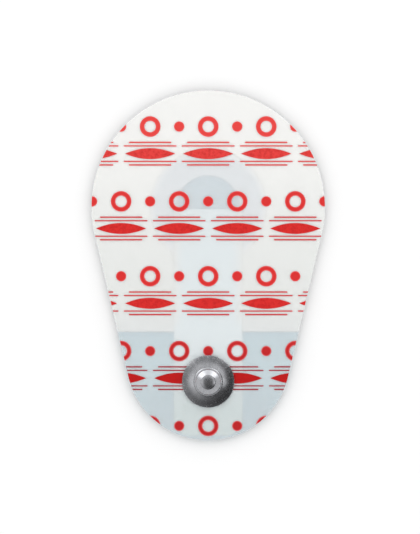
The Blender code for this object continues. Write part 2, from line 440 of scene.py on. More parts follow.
def silver_die(low, high, spread=0.0):
    """The conductor's outline as a block, grown all round by a spread."""
    middle = SILVER_TOP_Y - SILVER_HALF
    block = strip_die(
        SILVER_HALF + spread, SILVER_FOOT_Y - spread, middle, SILVER_CORNER + spread, low, high
    )
    return hull_of(block, disc(SILVER_HALF + spread, middle, low, high, SILVER_SIDES))


silver_strip = cut_sheet("silver_strip", SILVER_LOW, SILVER_HIGH, SILVER_HALF,
                         SILVER_FOOT_Y, SILVER_TOP_Y, SILVER_CELL, silver_die)

# %% [markdown]
# ## The two foams
#
# A punch squeezes foam before it cuts, so the cut edge springs back with a soft shoulder above
# and a slight waist. The block gets both: its upper face is inset and the rim let down, and two
# cuts round the wall are drawn inwards. It is then parted on a straight line into the white
# foam and the blue one.

# %% Squeeze a foam block
SHOULDER = 0.6 * MM
WAIST, WAIST_LEVELS = 0.05 * MM, (0.3, 0.65)


def foam_block():
    block = pear_block(FOAM_LOW, FOAM_HIGH)
    edit(block)
    pick(block, lambda f: f.normal.z > 0.5)
    bpy.ops.mesh.inset(thickness=SHOULDER)
    pick(block, lambda v: v.co.z > FOAM_HIGH - TINY and inside_edge(v.co.x, v.co.y) < 10 * TINY,
         "verts")
    bpy.ops.transform.translate(value=(0, 0, -EDGE_TURN))
    for share in WAIST_LEVELS:
        pick_all()
        level = FOAM_LOW + share * (FOAM_HIGH - FOAM_LOW - EDGE_TURN)
        bpy.ops.mesh.bisect(plane_co=(0, 0, level), plane_no=(0, 0, 1))
        bpy.ops.transform.shrink_fatten(value=-WAIST)
    start()
    return block


print("the foam's rim is let down", EDGE_TURN / MM, "mm")

# %% Part the block and cut the wells
WELL_RADIUS, WELL_SIDES = 9.04 * MM, 128
PATCH_WELL_RADIUS, PATCH_SIDES = 5.3 * MM, 96
GLUE = FILM_LOW - FOAM_HIGH
PRESSED = 0.03 * MM


def keep_side(piece, y, keep_above):
    """Cut a piece across at y, close the cut and keep one side."""
    edit(piece)
    pick_all()
    bpy.ops.mesh.bisect(
        plane_co=(0, y, 0), plane_no=(0, 1, 0), use_fill=True,
        clear_inner=keep_above, clear_outer=not keep_above,
    )
    start()


def press_strips_in(piece):
    """Leave room for the two strips, which are pressed into the soft layer below them."""
    over = FOAM_HIGH + DIE_OVERRUN
    die_cut(piece, silver_die(SILVER_LOW - GLUE, over, PRESSED), "DIFFERENCE")
    die_cut(piece, cover_die(STRIP_LOW - GLUE, over, PRESSED), "DIFFERENCE")


foam_skirt, foam_tail = foam_block(), foam_block()
keep_side(foam_skirt, SPLIT_Y, True)
keep_side(foam_tail, TAIL_TOP_Y, False)
punch(foam_skirt, WELL_RADIUS, 0, FOAM_LOW, FOAM_HIGH, WELL_SIDES)
punch(foam_tail, PATCH_WELL_RADIUS, SNAP_Y, FOAM_LOW, FOAM_HIGH, PATCH_SIDES)
for foam, name in ((foam_skirt, "foam_skirt"), (foam_tail, "foam_tail")):
    press_strips_in(foam)
    complete(foam, name, 30)

# %% [markdown]
# ## The gel
#
# The gel is poured and sets with a slightly rounded rim. A cylinder's rims are bevelled, its
# lower face is inset in rings and let down a little, and the strips are pressed into its top.

# %% Pour the gel
GEL_RIM, GEL_BELLY = 0.06 * MM, 0.02 * MM
GEL_RINGS, GEL_RING_WIDE = 6, 1.2 * MM

gel_pad = disc(GEL_RADIUS, 0, FOAM_LOW + GEL_BELLY, FOAM_HIGH, WELL_SIDES)
edit(gel_pad, "EDGE")
pick(gel_pad, is_level, "edges")
bpy.ops.mesh.bevel(offset=GEL_RIM, segments=3)
bpy.ops.mesh.select_mode(type="FACE")
for ring in range(GEL_RINGS):
    pick(gel_pad, lambda f: is_disc(f, -1))
    bpy.ops.mesh.inset(thickness=GEL_RING_WIDE)
    bpy.ops.transform.translate(value=(0, 0, -GEL_BELLY / GEL_RINGS))
start()
press_strips_in(gel_pad)
complete(gel_pad, "gel_pad", 40)

# %% [markdown]
# ## The liner
#
# The liner is a stiff clear sheet that is cut with the rest of the stack. Its edges are bevelled
# so that they catch the light as cut polyester does.

# %% Cut the liner
LINER_BEVEL, LINER_INSET = 0.04 * MM, 0.5 * MM

clear_liner = pear_block(LINER_LOW, LINER_HIGH)
edit(clear_liner, "EDGE")
pick(clear_liner, is_level, "edges")
bpy.ops.mesh.bevel(offset=LINER_BEVEL, segments=2)
bpy.ops.mesh.select_mode(type="FACE")
pick(clear_liner, lambda f: abs(f.normal.z) > 0.99)
bpy.ops.mesh.inset(thickness=LINER_INSET)
complete(clear_liner, "clear_liner", 40)

# %% [markdown]
# ## The patch below the snap
#
# A disc of white tape keeps the eyelet off the skin. Pressed over the eyelet's base, it shows
# that base as a shallow round step, so the disc's faces are inset and let down.

# %% Press the patch
PATCH_BEVEL, PATCH_STEP = 0.08 * MM, 0.05 * MM
# width of each ring and how far it is let down
PATCH_RINGS = ((0.85 * MM, 0), (0.30 * MM, PATCH_STEP), (1.6 * MM, 0), (0.4 * MM, 0))

white_patch_disc = disc(PATCH_RADIUS, SNAP_Y, PATCH_LOW, PATCH_HIGH, PATCH_SIDES)
edit(white_patch_disc)
for direction in (1, -1):
    for width, sink in PATCH_RINGS:
        pick(white_patch_disc, lambda f: is_disc(f, direction))
        bpy.ops.mesh.inset(thickness=width)
        bpy.ops.transform.translate(value=(0, 0, -direction * sink))
bpy.ops.mesh.select_mode(type="EDGE")
pick(white_patch_disc, lambda e: is_level(e) and hypot(
    e.verts[0].co.x, e.verts[0].co.y - SNAP_Y) > PATCH_RADIUS - TINY, "edges")
bpy.ops.mesh.bevel(offset=PATCH_BEVEL, segments=3)
complete(white_patch_disc, "white_patch_disc", 30)

# %% [markdown]
# ## The snap's two halves
#
# The stud and the eyelet are pressed from thin sheet on a round tool. Each is a wire profile
# spun about the snap's axis: one point is extruded along the outside of the sheet and back along
# its inside. The profile is written as arcs and straight runs, in millimetres from the axis.

# %% Draw arcs and spin a profile
SPIN_STEPS = 144
MERGE = 1e-7


def arc(centre, radius, start_angle, end_angle, steps, high=None):
    """Points between two angles in degrees on a circle, or on an ellipse if it has a height."""
    turns = [radians(start_angle + (end_angle - start_angle) * i / steps) for i in range(steps + 1)]
    rise = radius if high is None else high
    return [(centre[0] + radius * cos(turn), centre[1] + rise * sin(turn)) for turn in turns]


def spun(name, profile, closed):
    """Extrude a point along a profile of (radius, height) in mm, then spin it round the snap."""
    start()
    bpy.ops.mesh.primitive_plane_add(size=MM)
    piece = bpy.context.object
    edit(piece, "VERT")
    pick_all()
    bpy.ops.mesh.merge(type="CENTER")
    first = profile[0]
    bpy.ops.transform.translate(value=(first[0] * MM, SNAP_Y, first[1] * MM))
    route = profile[1:] + ([first] if closed else [])
    for here, there in zip(profile, route):
        move = ((there[0] - here[0]) * MM, 0, (there[1] - here[1]) * MM)
        bpy.ops.mesh.extrude_region_move(TRANSFORM_OT_translate={"value": move})
    pick_all()
    bpy.ops.mesh.remove_doubles(threshold=MERGE)
    pick_all()
    bpy.ops.mesh.spin(steps=SPIN_STEPS, angle=2 * pi, center=(0, SNAP_Y, 0), axis=(0, 0, 1))
    pick_all()
    bpy.ops.mesh.remove_doubles(threshold=MERGE)
    pick_all()
    bpy.ops.mesh.normals_make_consistent(inside=False)
    return complete(piece, name, 60)


print("profiles are spun in", SPIN_STEPS, "steps")

# %% [markdown]
# ## The stud
#
# From its middle outwards the stud has a flat dome for a crown, a cone, a rounded shoulder, an
# undercut for the clip's spring, a neck, a small step round the neck's foot, a flange that curves
# down ever more towards the outside, and a rim. That curve matters: its inner part is turned to
# the light and shows as a pale ring that fades outwards, and the step shows as a bright arc.

# %% Write the head's profile
STUD_SHEET = 0.25
HEAD, CROWN_HIGH, CROWN_BEND, SHOULDER_BEND = 1.95, 0.95, 0.30, 0.30
DOME_LEAN, CONE_LEAN = 14, 38
UNDERCUT, NECK, FILLET = 0.75, 1.60, 0.30
UNDERCUT_STEPS = 12
BASE, CROWN_TOP = STUD_LOW / MM, STUD_HIGH / MM


def undercut(sheet):
    """The head's lower side: a soft S from its widest ring to the neck."""
    points = []
    for i in range(1, UNDERCUT_STEPS + 1):
        share = i / UNDERCUT_STEPS
        swell = (HEAD - NECK) * (1 + cos(pi * share)) / 2
        points.append((NECK + swell - sheet, CROWN_TOP - CROWN_HIGH - UNDERCUT * share))
    return points


def crown(sheet):
    """The crown from its dome over a bend and a cone to the widest ring, or the sheet's inside."""
    lean, flat = radians(CONE_LEAN), radians(DOME_LEAN)
    ring = (HEAD - SHOULDER_BEND, CROWN_TOP - CROWN_HIGH)
    cone_drop = CROWN_HIGH - SHOULDER_BEND * cos(lean) - CROWN_BEND * (cos(flat) - cos(lean))
    bends_out = SHOULDER_BEND * sin(lean) - CROWN_BEND * (sin(lean) - sin(flat))
    dome_out = (ring[0] + bends_out - cone_drop / tan(lean)) / (1 - tan(flat / 2) / tan(lean))
    dome = dome_out / sin(flat)
    middle = (dome_out - CROWN_BEND * sin(flat),
              CROWN_TOP - dome * (1 - cos(flat)) - CROWN_BEND * cos(flat))
    points = [(0, CROWN_TOP - sheet)]
    points += arc((0, CROWN_TOP - dome), dome - sheet, 88, 90 - DOME_LEAN, 6)
    points += arc(middle, CROWN_BEND - sheet, 90 - DOME_LEAN, 90 - CONE_LEAN, 8)[1:]
    return points + arc(ring, SHOULDER_BEND - sheet, 90 - CONE_LEAN, 0, 12)


print("the head is", 2 * HEAD, "mm across")

# %% Write the flange's profile and spin the stud
STEP_IN, STEP_OUT, STEP_LEAN, STEP_BEND = 2.06, 2.25, 40, 0.08
LAND_HIGH, LAND_FALL, LAND_OUT, LAND_BEND = 1.35, 14.5, 2.29, 7.0
RIM, CURL, CURL_IN, RIM_SIDE = FLANGE_RADIUS / MM, 0.06, 0.40, 0.34


def common_tangent(first, first_radius, second, second_radius):
    """The angle in degrees at which one straight line touches two circles from above."""
    run, rise = second[0] - first[0], second[1] - first[1]
    return degrees(atan2(rise, run) + acos((first_radius - second_radius) / hypot(run, rise)))


def stud_profile():
    land, fall = BASE + LAND_HIGH, radians(LAND_FALL)
    fillet = (NECK + FILLET, land + FILLET)
    fall_start = arc(fillet, FILLET, 270 - LAND_FALL, 270 - LAND_FALL, 1)[0]
    step_high = fall_start[1] - (STEP_IN - fall_start[0]) * tan(fall)
    step_turn = (STEP_IN - STEP_BEND * sin(fall), step_high - STEP_BEND * cos(fall))
    foot_step = arc(step_turn, STEP_BEND, 90 - LAND_FALL, 90 - STEP_LEAN, 6)
    step_low = foot_step[-1][1] - (STEP_OUT - foot_step[-1][0]) * tan(radians(STEP_LEAN))
    land_high = step_low - (LAND_OUT - STEP_OUT) * tan(fall)
    bend = (LAND_OUT - LAND_BEND * sin(fall), land_high - LAND_BEND * cos(fall))
    curl = (RIM - CURL, BASE + RIM_SIDE + CURL)
    slope = common_tangent(bend, LAND_BEND, curl, CURL)
    print("the slope leans", round(90 - slope, 1), "degrees from flat")

    outside = crown(0) + undercut(0)
    outside += arc(fillet, FILLET, 180, 270 - LAND_FALL, 10)
    outside += foot_step + [(STEP_OUT, step_low)]
    outside += arc(bend, LAND_BEND, 90 - LAND_FALL, slope, 16)
    outside += arc(curl, CURL, slope, 0, 8)
    outside += arc((RIM - CURL, BASE + CURL), CURL, 0, -90, 6)

    inner_bend = arc(bend, LAND_BEND - STUD_SHEET, slope, 90 - LAND_FALL, 8)
    curl_end = curl[0] - CURL_IN
    rise = (inner_bend[0][0] - curl_end) * tan(radians(90 - slope))
    inside = [(curl_end, BASE), (curl_end, inner_bend[0][1] + rise)] + inner_bend
    inside += arc(fillet, FILLET + STUD_SHEET, 270 - LAND_FALL, 180, 10)
    inside += undercut(STUD_SHEET)[::-1] + crown(STUD_SHEET)[::-1]
    return outside + inside


steel_stud = spun("steel_stud", stud_profile(), closed=False)

# %% [markdown]
# ## The eyelet
#
# The eyelet comes up from below. Its tube runs through the strips and the film into the stud's
# hollow head, where the riveting tool flares it out, so that the two halves hold the layers.

# %% Write the eyelet's profile
EYELET_SHEET = 0.25
EYELET_OUT, TUBE, DRAW = 3.90, 1.20, 0.45
FLARE, FLARE_HIGH, FLARE_BELOW = 1.50, 0.42, 0.85


def eyelet_profile():
    base, top = EYELET_LOW / MM, EYELET_LOW / MM + EYELET_SHEET
    bore, half = TUBE - EYELET_SHEET, EYELET_SHEET / 2
    flare = (FLARE, CROWN_TOP - FLARE_BELOW - FLARE_HIGH)
    outside = arc(flare, FLARE - TUBE, 90, 180, 10, FLARE_HIGH - EYELET_SHEET)
    outside += [(TUBE, top)] + arc((EYELET_OUT - half, base + half), half, 90, -90, 10)
    inside = arc((bore + DRAW, base + DRAW), DRAW, 270, 180, 10)
    inside += arc(flare, FLARE - bore, 180, 90, 10, FLARE_HIGH)
    return outside + inside


steel_eyelet = spun("steel_eyelet", eyelet_profile(), closed=True)

# %% [markdown]
# ## Finishes
#
# Each finish is a network of nodes that reads the piece's own coordinates, in millimetres. Small
# helpers place a node and fill its sockets, so that a network reads like a recipe. An effect
# that several finishes share is a group with named sockets.

# %% Helpers for nodes
tree = None


def work_on(network):
    """Choose the node tree that all helpers add to."""
    global tree
    tree = network


def fill(socket, value):
    """Link a socket, or write a plain value to it."""
    if isinstance(value, bpy.types.NodeSocket):
        tree.links.new(value, socket)
    elif isinstance(value, (tuple, list)) and socket.type == "RGBA" and len(value) == 3:
        socket.default_value = (*value, 1)
    else:
        socket.default_value = value


def give(node, **sockets):
    """Fill a node's sockets by name, with _ for a space."""
    for key, value in sockets.items():
        fill(node.inputs[key.replace("_", " ")], value)
    return node


def give_in_order(node, *values):
    for socket, value in zip(node.inputs, values):
        fill(socket, value)
    return node.outputs


def place(kind, *settings, **sockets):
    """Add a node, make its settings and fill its sockets."""
    made = tree.nodes.new("ShaderNode" + kind)
    for key, value in settings:
        setattr(made, key, value)
    return give(made, **sockets)


def use(group, **sockets):
    """Add a group to a material and fill its sockets."""
    return place("Group", ("node_tree", group), **sockets).outputs


print("node helpers ready")

# %% Helpers for sums
def calc(operation, *values):
    return give_in_order(place("Math", ("operation", operation)), *values)[0]


def chain(operation, first, *others):
    """Join values by one operation, from left to right."""
    for other in others:
        first = calc(operation, first, other)
    return first


def times(*values):
    return chain("MULTIPLY", *values)


def minus(first, second):
    return calc("SUBTRACT", first, second)


def weighed(*pairs):
    """The sum of values, each times its weight."""
    return chain("ADD", *[times(value, weight) for value, weight in pairs])


def length(x, y):
    """The length of a flat vector."""
    return calc("SQRT", weighed((x, x), (y, y)))


def parts(vector):
    """A vector's X, Y and Z."""
    return place("SeparateXYZ", Vector=vector).outputs


def between(share, low, high):
    """Mix two numbers."""
    return place("MapRange", Value=share, To_Min=low, To_Max=high).outputs["Result"]


def step(value, low, high):
    """0 below one value, 1 above another, and a soft rise between them."""
    return place("MapRange", ("interpolation_type", "SMOOTHSTEP"), Value=value,
                 From_Min=low, From_Max=high).outputs["Result"]


print("sum helpers ready")

# %% Helpers for colours, grain and whole finishes
def blend(share, first, second):
    """Mix two colours."""
    made = place("Mix", ("data_type", "RGBA"))
    for name, value in (("Factor_Float", share), ("A_Color", first), ("B_Color", second)):
        fill(next(s for s in made.inputs if s.identifier == name), value)
    return next(s for s in made.outputs if s.identifier == "Result_Color")


def noise(vector, scale, detail, **more):
    return place("TexNoise", Vector=vector, Scale=scale, Detail=detail, **more).outputs["Fac"]


def stretched(vector, scales):
    return place("Mapping", Vector=vector, Scale=scales).outputs[0]


def bump(height, depth):
    """Normals from a height between 0 and 1, at a depth in millimetres."""
    return place("Bump", Strength=1.0, Distance=depth * MM, Height=height).outputs[0]


def new_group(name, inputs, outputs):
    """A shader node group to work on, with sockets for places and for plain numbers."""
    work_on(bpy.data.node_groups.new(name, "ShaderNodeTree"))
    for labels, direction in ((inputs, "INPUT"), (outputs, "OUTPUT")):
        for label in labels:
            kind = "NodeSocketVector" if label in ("Position", "Centre") else "NodeSocketFloat"
            tree.interface.new_socket(name=label, in_out=direction, socket_type=kind)
    return tree, tree.nodes.new("NodeGroupInput").outputs, tree.nodes.new("NodeGroupOutput")


def finish(name):
    """A new material to work on, with its Principled shader and the piece's coordinates in mm."""
    made = bpy.data.materials.new(name)
    made.use_nodes = True
    work_on(made.node_tree)
    in_mm = place("VectorMath", ("operation", "SCALE"),
                  Vector=place("TexCoord").outputs["Object"], Scale=1 / MM)
    return made, tree.nodes["Principled BSDF"], in_mm.outputs[0]


def dress(piece, material, node):
    """Give a piece its finish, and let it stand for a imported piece."""
    piece.data.materials.clear()
    piece.data.materials.append(material)
    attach(piece, "root")
    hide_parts(node)
    print(piece.name, "stands for", node)


print("finish helpers ready")

# %% [markdown]
# ## Shared effects
#
# Three effects are shared. Ripple is the slow unevenness of thin sheet, cells are the bubbles of
# closed foam, and press marks are the flutes, streaks and pits that a press leaves on a round
# piece of steel.

# %% Ripple of thin sheet
FINER = 7.0

ripple, given, result = new_group("ripple", ["Position", "Size"], ["Height", "Shade"])
per_mm = calc("DIVIDE", 1.0, given["Size"])
slow = noise(given["Position"], per_mm, 3.0, Distortion=0.4)
fine = noise(given["Position"], times(per_mm, FINER), 2.0)
give(result, Height=weighed((slow, 0.85), (fine, 0.15)), Shade=slow)
print("group", ripple.name)

# %% Cells of foam
SMALLER = 2.3

cells, given, result = new_group("foam_cells", ["Position", "Size"], ["Height", "Shade"])
per_mm = calc("DIVIDE", 1.0, given["Size"])
bubble = place("TexVoronoi", ("feature", "SMOOTH_F1"), Vector=given["Position"],
               Scale=per_mm, Smoothness=0.35, Randomness=0.9).outputs["Distance"]
small = place("TexVoronoi", ("feature", "F1"), Vector=given["Position"],
              Scale=times(per_mm, SMALLER)).outputs["Distance"]
wall = step(bubble, 0.15, 0.65)
give(result, Height=weighed((wall, 0.7), (small, 0.3)), Shade=noise(given["Position"], 0.35, 3.0))
print("group", cells.name)

# %% Press marks on steel
FLUTES, FLUTE_DEPTH = 52, 0.22
FLUTE_FROM, FLUTE_FULL, FLUTE_FADES, FLUTE_END = 3.0, 3.3, 3.8, 4.0
STREAK_DEPTH, PIT_DEPTH = 0.05, 0.02
AXIS_RADIUS, STREAK_DRIFT = 0.05, 0.12

marks, given, result = new_group("press_marks", ["Position", "Centre"], ["Height", "Tone", "Wear"])
offset = give_in_order(place("VectorMath", ("operation", "SUBTRACT")),
                       given["Position"], given["Centre"])[0]
apart = parts(offset)
radius = length(apart["X"], apart["Y"])
away = calc("MAXIMUM", radius, AXIS_RADIUS)
turn = place("CombineXYZ", X=calc("DIVIDE", apart["X"], away),
             Y=calc("DIVIDE", apart["Y"], away), Z=times(radius, STREAK_DRIFT))
streak = noise(turn.outputs[0], 7.0, 2.5, Roughness=0.6)
pits = noise(offset, 2.2, 3.0, Roughness=0.55)
cloud = noise(offset, 0.9, 3.0)
around = times(calc("ARCTAN2", apart["Y"], apart["X"]), FLUTES)
on_slope = times(step(radius, FLUTE_FROM, FLUTE_FULL), step(radius, FLUTE_END, FLUTE_FADES))
flute = times(calc("SINE", around), on_slope)
streaks = weighed((streak, STREAK_DEPTH), (pits, PIT_DEPTH))
give(result, Height=calc("MULTIPLY_ADD", flute, FLUTE_DEPTH, streaks),
     Tone=weighed((streak, 0.5), (cloud, 0.5)), Wear=step(pits, 0.45, 0.75))
print("group", marks.name)

# %% [markdown]
# ## The print
#
# Such films carry a red print that repeats over the web, so that every punched piece gets a
# different cut of it. This one is plain shapes: rows of rings and dots, and solid lenses between
# pairs of thin rules, with every other row moved by half a tile. Each shape is a distance field,
# which is below zero inside the shape, and the least of all distances makes the whole print.

# %% Places on a tile of the print
TILE_WIDE, TILE_HIGH, TILE_FOOT = 9.0, 11.6, 3.3
HALF_TILE = TILE_WIDE / 2

pattern, given, result = new_group("print_shapes", ["Position"], ["Strokes", "Lenses", "Rules"])
apart = parts(given["Position"])
height = minus(apart["Y"], TILE_FOOT)
row = calc("FLOOR", calc("DIVIDE", height, TILE_HIGH))
shift = times(calc("FLOORED_MODULO", row, 2.0), HALF_TILE)
along = calc("WRAP", calc("ADD", apart["X"], shift), HALF_TILE, -HALF_TILE)
aside = calc("ABSOLUTE", along)
up = calc("WRAP", height, TILE_HIGH, 0.0)
print("a tile is", TILE_WIDE, "by", TILE_HIGH, "mm")

# %% Distances to the printed shapes
RING_HIGH, RING_MIDDLE, RING_HALF, DOT = 9.2, 1.24, 0.36, 0.80
LENS_HIGH, LENS_LONG, LENS_THICK = 5.0, 3.9, 0.86
# height above the lens, half the length and half the thickness
RULES = [(1.75, 3.3, 0.11), (1.20, 4.1, 0.10), (-1.20, 4.1, 0.10), (-1.75, 3.3, 0.11)]


def from_point(x, at_x, at_y):
    """The distance from a point of the tile."""
    return length(minus(x, at_x), minus(up, at_y))


def lens(at_y, half_long, half_high):
    """About the distance to a lens that tapers to a point at both ends."""
    share = calc("DIVIDE", along, half_long)
    left = minus(1.0, times(share, share))
    away = calc("ABSOLUTE", minus(up, at_y))
    return minus(away, times(left, half_high))


def rule(at_y, half_long, half_high):
    """The distance to a thin line with round ends."""
    past_end = calc("MAXIMUM", minus(aside, half_long - half_high), 0.0)
    return minus(length(past_end, minus(up, at_y)), half_high)


ring = minus(calc("ABSOLUTE", minus(from_point(along, 0.0, RING_HIGH), RING_MIDDLE)), RING_HALF)
dot = minus(from_point(aside, HALF_TILE, RING_HIGH), DOT)
rules = [rule(LENS_HIGH + above, half_long, half_high) for above, half_long, half_high in RULES]
give(result, Strokes=calc("MINIMUM", ring, dot),
     Lenses=lens(LENS_HIGH, LENS_LONG, LENS_THICK), Rules=chain("MINIMUM", *rules))
print("group", pattern.name, "with", len(RULES), "rules to a lens")

# %% [markdown]
# ## The film's finish
#
# The bare film is translucent: light passes it, is scattered back by the foam and comes up
# again. The ink is nearly opaque, a little paler along the edges of each shape, where the
# printing plate squeezes it thin, and finely mottled in the solid areas. Its colour is painted
# brighter over the white skirt, for the light that comes back through it, and brighter again
# towards the broad end, a painted fall of light.

# %% Dress the printed film
FILM_WHITE, FILM_ALPHA, INK_ALPHA = (0.98, 0.98, 0.972), 0.30, 0.95
STROKE_EDGE, STROKE_CORE = (0.72, 0.12, 0.13), (0.53, 0.014, 0.016)
LENS_EDGE, LENS_CORE, RULE_INK = (0.46, 0.012, 0.02), (0.55, 0.004, 0.004), (0.38, 0.025, 0.045)
LIT_INK, BROAD_END_LIT_INK, SPECK_INK = (0.90, 0.040, 0.036), (0.90, 0.085, 0.075), (0.42, 0.003, 0.005)
# painted light: the ink is painted lighter over the white skirt and again towards the broad end
INK_PAINTED_LIGHT = [(-25.0, -15.0, 0.52, LIT_INK), (-2.0, 11.0, 0.55, BROAD_END_LIT_INK)]
SOFT_EDGE = 0.03

printed, shader, where = finish("printed_film")
shapes = use(pattern, Position=where)
speck = noise(where, 1.4, 5.0, Roughness=0.75)
stroke, solid, fine = (step(shapes[name], SOFT_EDGE, -SOFT_EDGE)
                       for name in ("Strokes", "Lenses", "Rules"))
ink = chain("MAXIMUM", stroke, solid, fine)
stroke_colour = blend(step(shapes["Strokes"], -0.02, -0.24), STROKE_EDGE, STROKE_CORE)
solid_colour = blend(step(shapes["Lenses"], -0.02, -0.20), LENS_EDGE, LENS_CORE)
ink_colour = blend(stroke, blend(solid, RULE_INK, solid_colour), stroke_colour)
# paint the ink lighter towards the broad end, a painted fall of light
for start_y, end_y, share, shade in INK_PAINTED_LIGHT:
    painted_light_share = times(step(parts(where)["Y"], start_y, end_y), share)
    ink_colour = blend(painted_light_share, ink_colour, shade)
mottled = times(solid, step(speck, 0.40, 0.66), 0.45)
ink_colour = blend(mottled, ink_colour, SPECK_INK)
wavy = use(ripple, Position=where, Size=4.0)
rough = calc("ADD", between(ink, 0.30, 0.42), times(wavy["Shade"], 0.10))
give(shader, Base_Color=blend(ink, FILM_WHITE, ink_colour), Specular_IOR_Level=0.18,
     Alpha=between(ink, FILM_ALPHA, INK_ALPHA), Roughness=rough,
     Normal=bump(wavy["Height"], 0.03))
dress(printed_film, printed, "carrier_film")

# %% [markdown]
# ## The strips' finishes
#
# The cover strip is a milky film, denser than the printed one. It thins out towards its long
# edges over the skirt, and below the snap it is painted greyer, a painted shadow of the snap and
# a painted fall of light. The conductor is coated with silver and silver chloride, a dull blue grey
# with a faint brushed look.

# %% Dress the milky strip
MILKY_DARK, MILKY_LIGHT = (0.76, 0.875, 0.915), (0.785, 0.89, 0.93)
MILKY_THIN, MILKY_SHADE_BELOW_SNAP = (0.85, 0.875, 0.865), (0.51, 0.67, 0.68)
THIN_EDGE = 1.6
JOINT_Y, SNAP_MM, STRIP_EDGE = SPLIT_Y / MM, SNAP_Y / MM, STRIP_HALF / MM

milky, shader, where = finish("milky_film")
wavy = use(ripple, Position=where, Size=3.0)
apart = parts(where)
thin = step(calc("ABSOLUTE", apart["X"]), STRIP_EDGE - THIN_EDGE, STRIP_EDGE)
thin = times(thin, step(apart["Y"], JOINT_Y - 0.5, JOINT_Y + 3.0))
# painted shade: the strip's foot below the snap is greyer, a painted shadow of the snap and fall of
# light
foot = step(apart["Y"], SNAP_MM + 1.0, SNAP_MM - 5.0)
body = blend(thin, blend(wavy["Shade"], MILKY_DARK, MILKY_LIGHT), MILKY_THIN)
give(shader, Base_Color=blend(foot, body, MILKY_SHADE_BELOW_SNAP), Alpha=0.90,
     Roughness=between(wavy["Shade"], 0.35, 0.5), Normal=bump(wavy["Height"], 0.02))
dress(milky_strip, milky, "cover_strip")

# %% Dress the conductor
SILVER_DARK, SILVER_LIGHT = (0.46, 0.60, 0.68), (0.51, 0.65, 0.73)

silver, shader, where = finish("silver_chloride")
wavy = use(ripple, Position=where, Size=1.6)
grain = noise(stretched(where, (6.0, 0.6, 1.0)), 1.0, 4.0)
give(shader, Base_Color=blend(grain, SILVER_DARK, SILVER_LIGHT), Metallic=0.15,
     Roughness=between(wavy["Shade"], 0.45, 0.7), Normal=bump(wavy["Height"], 0.01))
dress(silver_strip, silver, "conductor_strip")

# %% [markdown]
# ## The foams' finishes
#
# Both foams are closed-cell polyethylene. The skirt is white and the tail a pale grey blue. Both
# are painted darker towards the narrow end, a painted fall of light, and the blue one is also a
# little darker just below the joint. The cut edges are painted a little greyer, and nearly black to
# light that bounces off them, a painted shade that keeps the contact shadow on the table soft and
# clear all round.

# %% Dress the foams
# painted shade: the cut edges are greyer to the camera and nearly black to light that bounces off
# them, which darkens the table's contact shadow
EDGE_SHADE_SEEN, EDGE_SHADE_THROWN = 0.80, 0.03
EDGE_FROM, EDGE_FULL = FOAM_HIGH / MM - 0.21, FOAM_HIGH / MM - 0.24


def foam_finish(name, light, dark, *darker_bands):
    """A foam painted darker along Y in each band of (start, end, shade), with painted shade on its
    cut edges.
    """
    made, shader, where = finish(name)
    found = use(cells, Position=where, Size=0.22)
    apart = parts(where)
    colour = blend(found["Shade"], dark, light)
    for start_y, end_y, shade in darker_bands:
        colour = blend(step(apart["Y"], start_y, end_y), colour, shade)
    upright = parts(place("TexCoord").outputs["Normal"])["Z"]
    flat = step(calc("ABSOLUTE", upright), 0.2, 0.6)
    edge_shade_seen, edge_shade_thrown = (tuple(share * part for part in light) for share in (EDGE_SHADE_SEEN, EDGE_SHADE_THROWN))
    low = step(apart["Z"], EDGE_FROM, EDGE_FULL)
    # painted shade: the lower cut edge is nearly black to bouncing light
    shaded = times(low, place("LightPath").outputs["Is Diffuse Ray"])
    colour = blend(flat, blend(shaded, edge_shade_seen, edge_shade_thrown), colour)
    give(shader, Base_Color=blend(times(found["Height"], 0.12), colour, dark),
         Roughness=between(found["Height"], 0.65, 0.85), Normal=bump(found["Height"], 0.05))
    return made


# painted shade: the skirt darkens from the broad end towards the joint, a painted fall of light
white_foam = foam_finish("white_foam", (0.99, 0.985, 0.965), (0.965, 0.965, 0.945),
                         (14.0, JOINT_Y + 6.0, (0.78, 0.81, 0.79)),
                         (JOINT_Y + 5.0, JOINT_Y, (0.70, 0.74, 0.745)))
dress(foam_skirt, white_foam, "skirt_foam")
# painted shade: the tail darkens below the snap towards its end, a painted fall of light; it is
# also a little darker just below the joint
blue_foam = foam_finish("blue_foam", (0.35, 0.57, 0.65), (0.32, 0.54, 0.625),
                        (SNAP_MM + 2.0, SNAP_MM - 6.0, (0.26, 0.44, 0.53)),
                        (JOINT_Y - 1.8, JOINT_Y, (0.29, 0.495, 0.595)))
dress(foam_tail, blue_foam, "tab_foam")

# %% [markdown]
# ## The gel's finish
#
# The gel is a firm, wet jelly. Light goes into it and comes back bluish, and its surface is
# glossy with a few small bubbles under it.

# %% Dress the gel
GEL_DARK, GEL_LIGHT = (0.70, 0.76, 0.81), (0.77, 0.81, 0.85)
GEL_EDGE, GEL_BUBBLE = (0.92, 0.94, 0.94), (0.93, 0.96, 0.98)

jelly, shader, where = finish("gel")
wavy = use(ripple, Position=where, Size=3.5)
bubble = place("TexVoronoi", ("feature", "F1"), Vector=where, Scale=0.9).outputs["Distance"]
spot = step(bubble, 0.16, 0.10)
apart = parts(where)
rim = step(length(apart["X"], apart["Y"]), 8.0, 9.1)
deep = step(apart["Z"], SILVER_LOW / MM, FOAM_HIGH / MM)
body = blend(rim, blend(wavy["Shade"], GEL_DARK, GEL_LIGHT), GEL_EDGE)
give(shader, Base_Color=blend(times(spot, 0.35), body, GEL_BUBBLE),
     Alpha=between(deep, 0.6, 0.97), Roughness=between(spot, 0.10, 0.22),
     Normal=bump(calc("ADD", wavy["Height"], spot), 0.02))
dress(gel_pad, jelly, "gel_disc")

# %% [markdown]
# ## Liner and patch
#
# The liner is clear polyester with a breath of blue, as it looks on a stack of electrodes. The
# patch is white paper tape with a crepe of fine fibres.

